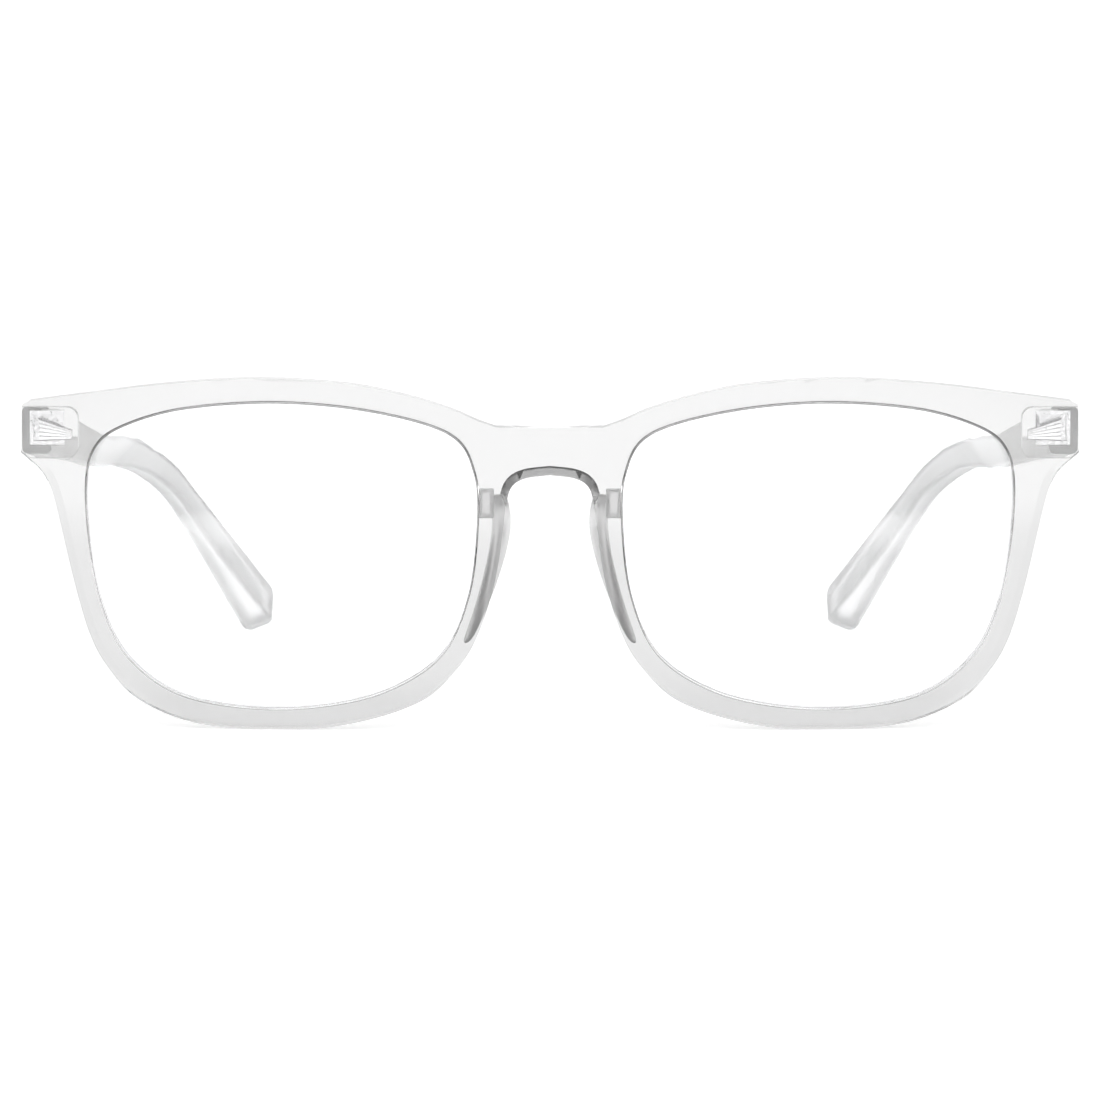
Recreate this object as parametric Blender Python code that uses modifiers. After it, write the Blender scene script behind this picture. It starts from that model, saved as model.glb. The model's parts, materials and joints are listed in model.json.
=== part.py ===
"""Full-rim plastic spectacles with plano lenses, modelled open and standing on a table.

Metres, +Z up. The wearer looks along -Y, so the wearer's left is +X. Every shape is drawn in a working
frame whose y = 0 is the front face of the bridge, and the root empty then puts the origin under the
middle of the whole object, on the surface that it stands on.
"""

import math

import bmesh
import bpy
from mathutils import Matrix, Vector

MM = 0.001

# Driving dimensions
FRONT_THICKNESS = 4.0 * MM
FRONT_BOW_RADIUS = 500 * MM
EDGE_ROUND = 0.28 * MM
BOX_CENTRE_Y = 66.49 * MM
FIT_GAP = 0.3 * MM

# Endpieces and the butt joint with the temples
LUG_BACK_Y = 10.5 * MM
LUG_BLANK_DEPTH = 4.0 * MM
LUG_INNER_X = 63.3 * MM
LUG_Z = (36.0 * MM, 42.9 * MM)
LUG_CORNER = 1.5 * MM
LUG_OVERRUN = 15 * MM
BUTT_Y = LUG_BACK_Y + FIT_GAP

# Lenses
LENS_THICKNESS = 1.6 * MM
LENS_EDGE_CHAMFER = 0.5 * MM
LENS_IN_GROOVE = 0.65 * MM
LENS_DOME = 1.2 * MM
LENS_CENTRE = (36.0 * MM, 23.5 * MM)
LENS_HALF_SIZE = (26.2 * MM, 20.8 * MM)
GROOVE_DEPTH = 0.95 * MM
GROOVE_WIDTH = LENS_THICKNESS + 2 * FIT_GAP

# Hinges: the axis is vertical, just inside the temple's inner face
KNUCKLE_RADIUS = 1.35 * MM
BORE_RADIUS = 0.7 * MM
HINGE_X = 66.5 * MM
KNUCKLE_GAP = 0.15 * MM
HINGE_Y = LUG_BACK_Y + KNUCKLE_RADIUS + KNUCKLE_GAP
KNUCKLE_BOTTOM_Z = 38.0 * MM
KNUCKLE_HEIGHT = 1.15 * MM
KNUCKLE_ROOM = 0.4 * MM
KNUCKLE_TOP_Z = KNUCKLE_BOTTOM_Z + 3 * KNUCKLE_HEIGHT + 2 * KNUCKLE_GAP
LEAF_THICKNESS = 1.1 * MM
LEAF_SUNK = 0.05 * MM
STRAP_OVERLAP = 0.8 * MM
FRONT_LEAF_X = (65.1 * MM, 69.8 * MM)
FRONT_LEAF_Z = (37.8 * MM, 42.4 * MM)
TEMPLE_LEAF_X = (67.1 * MM, 68.1 * MM)
TEMPLE_LEAF_Y = (14.0 * MM, 23.5 * MM)
TEMPLE_LEAF_Z = (38.8 * MM, 41.2 * MM)
ANCHOR_ROOT = 0.2 * MM
FRONT_ANCHOR_DEPTH = 1.3 * MM
FRONT_ANCHOR_WIDE = (68.5 * MM, 38.5 * MM, 41.4 * MM)
FRONT_ANCHOR_NARROW = (64.1 * MM, 38.7 * MM, 39.8 * MM)
TEMPLE_ANCHOR_DEPTH = 1.0 * MM
TEMPLE_ANCHOR_WIDE = (14.8 * MM, 38.9 * MM, 41.1 * MM)
TEMPLE_ANCHOR_NARROW = (22.3 * MM, 39.4 * MM, 40.6 * MM)
RIB_COUNT = 5
RIB_GROOVE = 0.35 * MM
RIB_CREST = (0.02, 0.72)
RIB_VALLEY = (0.80, 0.94)
SCREW_RADIUS = 0.6 * MM
SCREW_HEAD_RADIUS = 1.1 * MM
SCREW_HEAD_HEIGHT = 0.6 * MM
SCREW_HEAD_EDGE = 0.2 * MM
SCREW_HEAD_GAP = 0.1 * MM
SCREW_TAIL = 0.2 * MM
SLOT_WIDTH = 0.3 * MM
SLOT_DEPTH = 0.3 * MM

# Half of the outer outline, x > 0, in mm: the brow, then the side and keyhole back to the middle
BROW = [(7.2, 40.7), (9.5, 41.5), (13.5, 43.2), (19.5, 45.0), (27.6, 46.5), (39.7, 47.1), (51.7, 46.3),
        (61.8, 45.0), (69.9, 43.9)]
ENDPIECE_CORNERS = [(70.9, 43.4), (71.0, 37.0)]
SIDE = [(70.0, 36.1), (68.4, 34.7), (67.1, 32.5), (66.1, 29.0), (64.7, 22.9), (63.4, 17.6), (61.7, 12.2),
        (59.5, 8.2), (55.8, 4.2), (49.7, 1.3), (43.3, 0.15), (37.0, 0.0), (31.0, 0.15), (25.0, 1.2),
        (19.5, 2.9), (15.5, 5.1), (11.6, 9.3), (9.5, 13.2), (7.9, 18.0), (6.9, 22.5), (6.3, 27.0),
        (5.8, 30.8), (5.0, 32.9), (3.2, 33.9), (0.0, 34.3)]

# The lens opening for x > 0, in mm, anticlockwise from the outer side
OPENING = [(62.1, 32.7), (61.0, 37.5), (57.4, 40.4), (49.0, 42.9), (36.2, 43.8), (23.5, 42.6), (13.4, 39.6),
           (10.2, 34.5), (9.8, 27.5), (11.0, 18.0), (14.6, 10.1), (22.0, 5.2), (31.5, 3.0), (41.5, 2.9),
           (50.5, 4.9), (57.0, 10.0), (60.3, 17.2), (61.7, 25.0)]

# Temple stations in mm: x, y, z of the centre line, then height and thickness
TEMPLE_STATIONS = [(68.9, 10.8, 39.7, 6.4, 3.9), (68.1, 30.0, 37.6, 6.2, 3.4), (66.9, 60.0, 33.9, 5.3, 3.1),
                   (65.8, 85.0, 30.8, 4.7, 3.0), (64.4, 97.0, 29.8, 4.5, 3.0), (61.5, 105.5, 28.3, 4.5, 2.9),
                   (57.3, 112.8, 24.2, 5.0, 2.7), (53.9, 118.0, 18.7, 6.2, 2.8), (50.6, 122.4, 13.2, 7.3, 3.3),
                   (47.1, 126.6, 7.2, 8.1, 4.1), (44.9, 128.9, 3.6, 8.2, 4.7)]
STATION_STEP = 7.0
TIP_ROUND = 2.2
TIP_THINNING = 0.45
TIP_STEPS = (0.5, 0.8, 0.95)
SECTION_CORNER = 0.8
CORNER_SHARE = 0.6

# Nose pad levels in mm: z, bulge x, rim x, outer x, depth behind the rim
PAD_LEVELS = [(31.6, 6.0, 6.0, 7.6, 1.2), (30.4, 5.3, 5.9, 7.9, 3.4), (27.2, 4.7, 6.3, 7.7, 5.6),
              (23.0, 5.6, 6.8, 8.3, 6.2), (18.6, 7.1, 7.8, 9.4, 5.2), (14.6, 8.9, 9.2, 10.6, 2.6),
              (11.2, 10.7, 10.7, 11.9, 0.8)]
PAD_SHOULDER_X = (7.5, 9.6)
PAD_SHOULDER_Z = (28.3, 32.2)
PAD_SHOULDER_DEPTH = 2.0
PAD_SHOULDER_GAP = 0.15
# A pad's section in shares of its depth, and how far its back and crest lie towards the lens in mm
PAD_BULGE_SHARE = 0.35
PAD_BACK_SHARE = 0.85
PAD_OUTER_SHARE = 0.7
PAD_BACK_INSET = 0.7
PAD_CREST_INSET = 0.6

CURVE_STEP = 2.4 * MM
SLICE_STEP = 8 * MM
ROUND_SEGMENTS = 24
WELD = 0.001 * MM
FLAT_ANGLE = math.radians(0.5)

CLEAR_PLASTIC = ("clear_plastic", (0.93, 0.94, 0.94, 1), 0.05, 0.0, 0.9)
CLEAR_LENS = ("clear_lens", (0.97, 0.98, 0.99, 1), 0.02, 0.0, 1.0)
HINGE_METAL = ("hinge_metal", (0.78, 0.78, 0.79, 1), 0.22, 1.0, 0.0)

for leftover in list(bpy.data.objects):
    bpy.data.objects.remove(leftover)
parts = bpy.data.collections.new("blue_light_glasses")
cutters = bpy.data.collections.new("cutters")
for collection in (parts, cutters):
    bpy.context.scene.collection.children.link(collection)
root = bpy.data.objects.new("glasses_origin", None)
root.location.y = -BOX_CENTRE_Y
parts.objects.link(root)


def material(spec):
    """A Principled material, made once for each named finish."""
    name, colour, roughness, metallic, transmission = spec
    if name in bpy.data.materials:
        return bpy.data.materials[name]
    made = bpy.data.materials.new(name)
    made.use_nodes = True
    shader = made.node_tree.nodes["Principled BSDF"]
    shader.inputs["Base Color"].default_value = colour
    shader.inputs["Roughness"].default_value = roughness
    shader.inputs["Metallic"].default_value = metallic
    shader.inputs["Transmission Weight"].default_value = transmission
    return made


def node(name, mesh, finish):
    """A sub-part: a named object under the root empty."""
    made = bpy.data.objects.new(name, mesh)
    parts.objects.link(made)
    made.parent = root
    mesh.materials.clear()
    mesh.materials.append(material(finish))
    mesh.shade_smooth()
    mesh.set_sharp_from_angle(angle=math.radians(35))
    return made


def tool(name, mesh):
    """A guide shape that cuts or joins a sub-part, and isn't one itself."""
    made = bpy.data.objects.new(name, mesh)
    cutters.objects.link(made)
    made.parent = root
    made.hide_render = True
    made.display_type = "WIRE"
    return made


def combine(target, guide, operation):
    boolean = target.modifiers.new(guide.name, "BOOLEAN")
    boolean.operation = operation
    boolean.object = guide


def baked(obj):
    """The object's mesh with its modifiers applied; the object itself is removed."""
    bpy.context.view_layer.update()
    evaluated = obj.evaluated_get(bpy.context.evaluated_depsgraph_get())
    mesh = bpy.data.meshes.new_from_object(evaluated)
    bpy.data.objects.remove(obj)
    return mesh


def moved(mesh, x, y, z):
    mesh.transform(Matrix.Translation((x, y, z)))
    return mesh


def clean(mesh, change=None):
    """Welds a mesh, makes any change to it as a bmesh, and turns its faces outwards."""
    bm = bmesh.new()
    bm.from_mesh(mesh)
    bmesh.ops.remove_doubles(bm, verts=bm.verts, dist=WELD)
    if change:
        bmesh.ops.dissolve_limit(bm, angle_limit=FLAT_ANGLE, verts=bm.verts, edges=bm.edges)
        change(bm)
    bmesh.ops.recalc_face_normals(bm, faces=bm.faces)
    bm.to_mesh(mesh)
    bm.free()
    return mesh


def smooth_run(points, step, closed=False):
    """Points along a Catmull-Rom curve through the given ones, about one step apart."""
    points = [Vector(p) for p in points]
    count = len(points)
    run = []
    for i in range(count if closed else count - 1):
        if closed:
            a, b, c, d = (points[(i + k) % count] for k in (-1, 0, 1, 2))
        else:
            b, c = points[i], points[i + 1]
            a = points[i - 1] if i else 2 * b - c
            d = points[i + 2] if i + 2 < count else 2 * c - b
        pieces = max(1, round((c - b).length / step))
        for k in range(pieces):
            t = k / pieces
            run.append(0.5 * (2 * b + (c - a) * t + (2 * a - 5 * b + 4 * c - d) * t**2
                              + (3 * b - a - 3 * c + d) * t**3))
    if not closed:
        run.append(points[-1])
    return run


def grown(loop, distance):
    """An anticlockwise loop moved outwards by a distance."""
    count = len(loop)
    moved = []
    for i, point in enumerate(loop):
        along = (loop[(i + 1) % count] - loop[i - 1]).normalized()
        moved.append(point + distance * Vector((along.y, -along.x)))
    return moved


def circle(radius, segments=ROUND_SEGMENTS):
    turn = 2 * math.pi / segments
    return [Vector((radius * math.cos(turn * i), radius * math.sin(turn * i))) for i in range(segments)]


def plate(name, loops, thickness):
    """A flat plate in XY, from z = 0 to its thickness. Loops after the first one are holes."""
    curve = bpy.data.curves.new(name, "CURVE")
    curve.dimensions = "2D"
    curve.fill_mode = "BOTH"
    curve.extrude = thickness / 2
    for loop in loops:
        spline = curve.splines.new("POLY")
        spline.points.add(len(loop) - 1)
        for point, place in zip(spline.points, loop):
            point.co = (place.x, place.y, 0, 1)
        spline.use_cyclic_u = True
    flat = bpy.data.objects.new(name, curve)
    cutters.objects.link(flat)
    mesh = clean(baked(flat))
    bpy.data.curves.remove(curve)
    return moved(mesh, 0, 0, thickness / 2)


def upright(mesh):
    """Turns a plate drawn in XY to stand in XZ, its front face at y = 0."""
    for vertex in mesh.vertices:
        x, height, depth = vertex.co
        vertex.co = (x, depth, height)
    mesh.flip_normals()
    return mesh


def block(low, high):
    """A box mesh between two corners."""
    bm = bmesh.new()
    bmesh.ops.create_cube(bm, size=1)
    for vertex in bm.verts:
        vertex.co = [low[k] + (vertex.co[k] + 0.5) * (high[k] - low[k]) for k in range(3)]
    mesh = bpy.data.meshes.new("block")
    bm.to_mesh(mesh)
    bm.free()
    return mesh


def sided(low, high, side):
    """Corners of a box given for the left side, mirrored for the right one."""
    if side > 0:
        return low, high
    return (-high[0], low[1], low[2]), (-low[0], high[1], high[2])


def loft(rings):
    """A closed body through rings that have the same number of points."""
    bm = bmesh.new()
    levels = [[bm.verts.new(p) for p in ring] for ring in rings]
    for lower, upper in zip(levels, levels[1:]):
        for i in range(len(lower)):
            k = (i + 1) % len(lower)
            bm.faces.new((lower[i], lower[k], upper[k], upper[i]))
    bm.faces.new(levels[0])
    bm.faces.new(levels[-1])
    mesh = bpy.data.meshes.new("loft")
    bm.to_mesh(mesh)
    bm.free()
    return clean(mesh)


def bow(x):
    """How far the front curves back at a distance from its middle."""
    return x * x / (2 * FRONT_BOW_RADIUS)


def slice_up(bm, normal):
    """Cuts a mesh into slices across one axis, so that it can bend."""
    normal = Vector(normal)
    reach = math.ceil(max(abs(v.co.dot(normal)) for v in bm.verts) / SLICE_STEP)
    for i in range(-reach, reach + 1):
        everything = bm.verts[:] + bm.edges[:] + bm.faces[:]
        place = i * SLICE_STEP * normal
        bmesh.ops.bisect_plane(bm, geom=everything, dist=WELD, plane_co=place, plane_no=normal)


def bent(bm):
    """Slices a flat front into upright strips and bends it back to the bow."""
    slice_up(bm, (1, 0, 0))
    for vertex in bm.verts:
        vertex.co.y += bow(vertex.co.x)


def front_outline():
    half = [Vector((0, BROW[0][1])) * MM]
    half += smooth_run([Vector(p) * MM for p in BROW], CURVE_STEP)
    half += [Vector(p) * MM for p in ENDPIECE_CORNERS]
    half += smooth_run([Vector(p) * MM for p in SIDE], CURVE_STEP)
    mirrored = [Vector((-p.x, p.y)) for p in reversed(half[1:-1])]
    return half + mirrored


def lens_outline(side, growth):
    loop = grown(smooth_run([Vector(p) * MM for p in OPENING], CURVE_STEP, closed=True), growth)
    return [Vector((side * p.x, p.y)) for p in loop]


def lug_outline(side):
    """The endpiece's deep part, seen from the front; it runs out past the side of the front."""
    bottom, top = LUG_Z
    outer_x = LUG_INNER_X + LUG_OVERRUN
    loop = [Vector((outer_x, bottom)), Vector((outer_x, top))]
    for height, first in ((top - LUG_CORNER, 90), (bottom + LUG_CORNER, 180)):
        centre = Vector((LUG_INNER_X + LUG_CORNER, height))
        for turn in (0, 45, 90):
            angle = math.radians(first + turn)
            loop.append(centre + LUG_CORNER * Vector((math.cos(angle), math.sin(angle))))
    return [Vector((side * p.x, p.y)) for p in loop]


def behind_the_rims():
    """What is cut away behind the front so that only the two endpiece lugs stay full depth."""
    reach = LUG_INNER_X + 2 * LUG_OVERRUN
    around = [Vector((-reach, -reach)), Vector((reach, -reach)), Vector((reach, reach)), Vector((-reach, reach))]
    loops = [around] + [lug_outline(side) for side in (1, -1)]
    return moved(upright(plate("behind_the_rims", loops, 2 * LUG_BLANK_DEPTH)), 0, FRONT_THICKNESS, 0)


def front_frame():
    holes = [lens_outline(side, 0) for side in (1, -1)]
    blank = plate("front_blank", [front_outline()] + holes, FRONT_THICKNESS + LUG_BLANK_DEPTH)
    work = tool("front_work", upright(blank))
    rounding = work.modifiers.new("edge_rounding", "BEVEL")
    rounding.width = EDGE_ROUND
    rounding.segments = 2
    rounding.limit_method = "ANGLE"
    rounding.angle_limit = math.radians(60)
    combine(work, tool("behind_the_rims", behind_the_rims()), "DIFFERENCE")
    for side in (1, -1):
        groove = upright(plate("groove", [lens_outline(side, GROOVE_DEPTH)], GROOVE_WIDTH))
        moved(groove, 0, (FRONT_THICKNESS - GROOVE_WIDTH) / 2, 0)
        combine(work, tool("groove", groove), "DIFFERENCE")
    frame = node("front_frame", clean(baked(work), bent), CLEAR_PLASTIC)
    lug_low = (LUG_INNER_X - LUG_CORNER, LUG_BACK_Y, 0)
    lug_high = (LUG_INNER_X + LUG_OVERRUN, LUG_BACK_Y + 2 * LUG_BLANK_DEPTH, 2 * LUG_Z[1])
    for side in (1, -1):
        combine(frame, tool("lug_back", block(*sided(lug_low, lug_high, side))), "DIFFERENCE")
        combine(frame, tool("leaf_pocket", front_leaf_plate(side, FIT_GAP)), "DIFFERENCE")
        combine(frame, tool("anchor_pocket", front_anchor(side, FIT_GAP)), "DIFFERENCE")
    return frame


def domed(bm):
    """Slices a flat lens into cells, domes it forwards and bends it to the bow of the front."""
    slice_up(bm, (1, 0, 0))
    slice_up(bm, (0, 0, 1))
    for vertex in bm.verts:
        across = (abs(vertex.co.x) - LENS_CENTRE[0]) / LENS_HALF_SIZE[0]
        up = (vertex.co.z - LENS_CENTRE[1]) / LENS_HALF_SIZE[1]
        vertex.co.y += bow(vertex.co.x) - LENS_DOME * max(0, 1 - across**2 - up**2)


def lens(name, side):
    outline = lens_outline(side, LENS_IN_GROOVE)
    work = tool("lens_work", upright(plate("lens_blank", [outline], LENS_THICKNESS)))
    chamfer = work.modifiers.new("edge_chamfer", "BEVEL")
    chamfer.width = LENS_EDGE_CHAMFER
    chamfer.segments = 1
    chamfer.limit_method = "ANGLE"
    chamfer.angle_limit = math.radians(60)
    mesh = moved(clean(baked(work), domed), 0, (FRONT_THICKNESS - LENS_THICKNESS) / 2, 0)
    return node(name, mesh, CLEAR_LENS)


def nose_pad(name, side):
    """A saddle on the back of the rim, with a square shoulder at its top beside the lens."""
    rings = []
    for z, bulge_x, rim_x, outer_x, depth in PAD_LEVELS:
        front = (FRONT_THICKNESS + FIT_GAP) / MM + 1000 * bow(rim_x * MM)
        section = [(rim_x, front), (bulge_x, front + PAD_BULGE_SHARE * depth),
                   (bulge_x + PAD_BACK_INSET, front + PAD_BACK_SHARE * depth),
                   ((bulge_x + outer_x) / 2 + PAD_CREST_INSET, front + depth),
                   (outer_x, front + PAD_OUTER_SHARE * depth), (outer_x, front)]
        rings.append([Vector((side * x, y, z)) * MM for x, y in section])
    pad = node(name, loft(rings), CLEAR_PLASTIC)
    low_y = (FRONT_THICKNESS + FIT_GAP) / MM + PAD_SHOULDER_GAP
    low = Vector((PAD_SHOULDER_X[0], low_y, PAD_SHOULDER_Z[0])) * MM
    high = Vector((PAD_SHOULDER_X[1], low_y + PAD_SHOULDER_DEPTH, PAD_SHOULDER_Z[1])) * MM
    combine(pad, tool("pad_shoulder", block(*sided(low, high, side))), "UNION")
    return pad


def front_leaf_plate(side, gap):
    """The plate let into the lug's back; with a gap it is the pocket, which is open at the back."""
    back = LUG_BACK_Y + LEAF_THICKNESS if gap else LUG_BACK_Y - LEAF_SUNK
    low = (FRONT_LEAF_X[0] - gap, LUG_BACK_Y - LEAF_THICKNESS - gap, FRONT_LEAF_Z[0] - gap)
    high = (FRONT_LEAF_X[1] + gap, back, FRONT_LEAF_Z[1] + gap)
    return block(*sided(low, high, side))


def anchor(wide_end, narrow_end, depth, gap):
    """A ribbed fan: each end is (place along, lowest, highest), and the ribs face forwards (-Y).

    It is drawn with its length along X and its ribs across Z, and its flat back just behind y = 0.
    """
    rings = []
    longer = math.copysign(gap, wide_end[0] - narrow_end[0])
    for (place, low, high), outwards in ((wide_end, longer), (narrow_end, -longer)):
        place, low, high = place + outwards, low - gap, high + gap
        pitch = (high - low) / RIB_COUNT
        ring = [Vector((place, ANCHOR_ROOT, low))]
        for i in range(RIB_COUNT):
            start = low + i * pitch
            ring.append(Vector((place, -depth - gap, start + RIB_CREST[0] * pitch)))
            ring.append(Vector((place, -depth - gap, start + RIB_CREST[1] * pitch)))
            if i + 1 < RIB_COUNT and not gap:
                ring.append(Vector((place, -depth + RIB_GROOVE, start + RIB_VALLEY[0] * pitch)))
                ring.append(Vector((place, -depth + RIB_GROOVE, start + RIB_VALLEY[1] * pitch)))
        ring.append(Vector((place, ANCHOR_ROOT, high)))
        rings.append(ring)
    return loft(rings)


def front_anchor(side, gap):
    ends = [(side * place, low, high) for place, low, high in (FRONT_ANCHOR_WIDE, FRONT_ANCHOR_NARROW)]
    return moved(anchor(*ends, FRONT_ANCHOR_DEPTH, gap), 0, LUG_BACK_Y - LEAF_THICKNESS, 0)


def temple_anchor(side, gap):
    """The same fan along the temple, its ribs facing outwards."""
    mesh = anchor(TEMPLE_ANCHOR_WIDE, TEMPLE_ANCHOR_NARROW, TEMPLE_ANCHOR_DEPTH, gap)
    for vertex in mesh.vertices:
        along, outwards, z = vertex.co
        vertex.co = (side * (TEMPLE_LEAF_X[1] - outwards), along, z)
    return clean(mesh)


def knuckle(side, index, towards, length):
    """One knuckle with its strap, which runs towards -Y (front leaf) or +Y (temple leaf)."""
    half_turn = [math.pi * i / (ROUND_SEGMENTS // 2) for i in range(ROUND_SEGMENTS // 2 + 1)]
    rounded = [Vector((KNUCKLE_RADIUS * math.cos(a), -towards * KNUCKLE_RADIUS * math.sin(a))) for a in half_turn]
    strap = [Vector((-KNUCKLE_RADIUS, towards * length)), Vector((KNUCKLE_RADIUS, towards * length))]
    mesh = plate("knuckle", [rounded + strap, circle(BORE_RADIUS)], KNUCKLE_HEIGHT)
    bottom = KNUCKLE_BOTTOM_Z + index * (KNUCKLE_HEIGHT + KNUCKLE_GAP)
    return moved(mesh, side * HINGE_X, HINGE_Y, bottom)


def front_hinge_leaf(name, side):
    leaf = node(name, front_leaf_plate(side, 0), HINGE_METAL)
    combine(leaf, tool("front_anchor", front_anchor(side, 0)), "UNION")
    reach = HINGE_Y - LUG_BACK_Y + LEAF_THICKNESS / 2
    for index in (0, 2):
        combine(leaf, tool("front_knuckle", knuckle(side, index, -1, reach)), "UNION")
    return leaf


def temple_hinge_leaf(name, side):
    low = (TEMPLE_LEAF_X[0], TEMPLE_LEAF_Y[0], TEMPLE_LEAF_Z[0])
    high = (TEMPLE_LEAF_X[1], TEMPLE_LEAF_Y[1], TEMPLE_LEAF_Z[1])
    leaf = node(name, block(*sided(low, high, side)), HINGE_METAL)
    combine(leaf, tool("temple_anchor", temple_anchor(side, 0)), "UNION")
    reach = TEMPLE_LEAF_Y[0] - HINGE_Y + STRAP_OVERLAP
    combine(leaf, tool("temple_knuckle", knuckle(side, 1, 1, reach)), "UNION")
    return leaf


def hinge_screw(name, side):
    """A turned screw, head up, with a straight slot. Its origin is on the hinge axis."""
    head_base = KNUCKLE_TOP_Z + SCREW_HEAD_GAP
    top = head_base + SCREW_HEAD_HEIGHT
    bottom = KNUCKLE_BOTTOM_Z - SCREW_TAIL
    profile = [(0, top), (SCREW_HEAD_RADIUS - SCREW_HEAD_EDGE, top), (SCREW_HEAD_RADIUS, top - SCREW_HEAD_EDGE),
               (SCREW_HEAD_RADIUS, head_base), (SCREW_RADIUS, head_base), (SCREW_RADIUS, bottom), (0, bottom)]
    mesh = bpy.data.meshes.new(name)
    mesh.from_pydata([(x, 0, z) for x, z in profile], [(i, i + 1) for i in range(len(profile) - 1)], [])
    screw = node(name, mesh, HINGE_METAL)
    screw.location = (side * HINGE_X, HINGE_Y, 0)
    turned = screw.modifiers.new("turned", "SCREW")
    turned.steps = turned.render_steps = ROUND_SEGMENTS
    turned.use_merge_vertices = True
    turned.merge_threshold = 0.001 * MM
    slot_reach = 2 * SCREW_HEAD_RADIUS
    slot = block((-slot_reach, -SLOT_WIDTH / 2, top - SLOT_DEPTH), (slot_reach, SLOT_WIDTH / 2, top + SLOT_DEPTH))
    slot_tool = tool("screw_slot", slot)
    slot_tool.location = screw.location
    combine(screw, slot_tool, "DIFFERENCE")
    return screw


def temple_section(half_thickness, half_height):
    """A rounded rectangle: across the temple, then up it."""
    radius = min(SECTION_CORNER, half_thickness * CORNER_SHARE)
    corners = [(1, 1, 0), (-1, 1, 90), (-1, -1, 180), (1, -1, 270)]
    section = []
    for across, up, start in corners:
        centre = Vector((across * (half_thickness - radius), up * (half_height - radius)))
        for degrees in (0, 45, 90):
            angle = math.radians(start + degrees)
            section.append(centre + radius * Vector((math.cos(angle), math.sin(angle))))
    return section


def temple_rings(side):
    stations = smooth_run(TEMPLE_STATIONS, STATION_STEP)
    last = stations[-1]
    direction = Vector((last - stations[-2])[:3]).normalized()
    rings = []
    for i, station in enumerate(stations):
        before = stations[max(i - 1, 0)]
        after = stations[min(i + 1, len(stations) - 1)]
        along = Vector((after - before)[:3]).normalized()
        rings.append((Vector(station[:3]), along, station[4] / 2, station[3] / 2))
    for part in TIP_STEPS:
        shrink = math.sqrt(1 - part * part)
        half_thickness = last[4] / 2 * (1 - (1 - shrink) * TIP_THINNING)
        half_height = last[3] / 2 - (1 - shrink) * TIP_ROUND
        rings.append((Vector(last[:3]) + direction * TIP_ROUND * part, direction, half_thickness, half_height))
    placed = []
    for centre, along, half_thickness, half_height in rings:
        across = (Vector((1, 0, 0)) - along.x * along).normalized()
        up = across.cross(along)
        ring = [centre + p.x * across + p.y * up for p in temple_section(half_thickness, half_height)]
        placed.append(ring)
    butt = BUTT_Y / MM
    start = rings[0][1]
    placed[0] = [p + start * ((butt - p.y) / start.y) for p in placed[0]]
    return [[Vector((side * p.x, p.y, p.z)) * MM for p in ring] for ring in placed]


def temple(name, side):
    arm = node(name, loft(temple_rings(side)), CLEAR_PLASTIC)
    inside_x = HINGE_X - 2 * KNUCKLE_RADIUS - 2 * FIT_GAP
    room_low = (inside_x, LUG_BACK_Y, KNUCKLE_BOTTOM_Z - KNUCKLE_ROOM)
    room_high = (HINGE_X + KNUCKLE_RADIUS + FIT_GAP, HINGE_Y + KNUCKLE_RADIUS + FIT_GAP,
                 KNUCKLE_TOP_Z + SCREW_HEAD_HEIGHT + KNUCKLE_ROOM)
    combine(arm, tool("knuckle_room", block(*sided(room_low, room_high, side))), "DIFFERENCE")
    room_low = (inside_x, HINGE_Y, TEMPLE_LEAF_Z[0] - FIT_GAP)
    room_high = (TEMPLE_LEAF_X[1] + FIT_GAP, TEMPLE_LEAF_Y[1] + FIT_GAP, TEMPLE_LEAF_Z[1] + FIT_GAP)
    combine(arm, tool("leaf_room", block(*sided(room_low, room_high, side))), "DIFFERENCE")
    combine(arm, tool("temple_anchor_room", temple_anchor(side, FIT_GAP)), "DIFFERENCE")
    return arm


front_frame()
for side_name, side_sign in (("left", 1), ("right", -1)):
    lens(f"{side_name}_lens", side_sign)
    nose_pad(f"{side_name}_nose_pad", side_sign)
    front_hinge_leaf(f"{side_name}_front_hinge_leaf", side_sign)
    temple_hinge_leaf(f"{side_name}_temple_hinge_leaf", side_sign)
    hinge_screw(f"{side_name}_hinge_screw", side_sign)
    temple(f"{side_name}_temple", side_sign)
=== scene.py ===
import json
import math

import bmesh
import bpy
from mathutils import Matrix, Vector


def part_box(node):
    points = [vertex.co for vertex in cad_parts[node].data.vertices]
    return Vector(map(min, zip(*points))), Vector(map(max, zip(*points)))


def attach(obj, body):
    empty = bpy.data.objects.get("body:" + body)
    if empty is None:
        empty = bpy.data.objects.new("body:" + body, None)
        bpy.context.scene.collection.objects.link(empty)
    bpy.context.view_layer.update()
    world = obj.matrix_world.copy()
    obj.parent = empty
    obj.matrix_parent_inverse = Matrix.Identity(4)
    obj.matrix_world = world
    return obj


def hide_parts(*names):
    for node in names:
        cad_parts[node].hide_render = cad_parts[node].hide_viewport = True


MM = 0.001

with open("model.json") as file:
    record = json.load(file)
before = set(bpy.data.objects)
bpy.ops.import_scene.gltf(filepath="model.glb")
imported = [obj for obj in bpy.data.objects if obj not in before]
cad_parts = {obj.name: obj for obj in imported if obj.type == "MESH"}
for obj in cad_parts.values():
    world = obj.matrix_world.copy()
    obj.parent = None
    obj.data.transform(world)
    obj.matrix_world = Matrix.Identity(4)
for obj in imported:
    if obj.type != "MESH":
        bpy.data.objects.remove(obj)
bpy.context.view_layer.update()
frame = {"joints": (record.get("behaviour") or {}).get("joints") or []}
SIDES = (("left", 1), ("right", -1))

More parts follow.
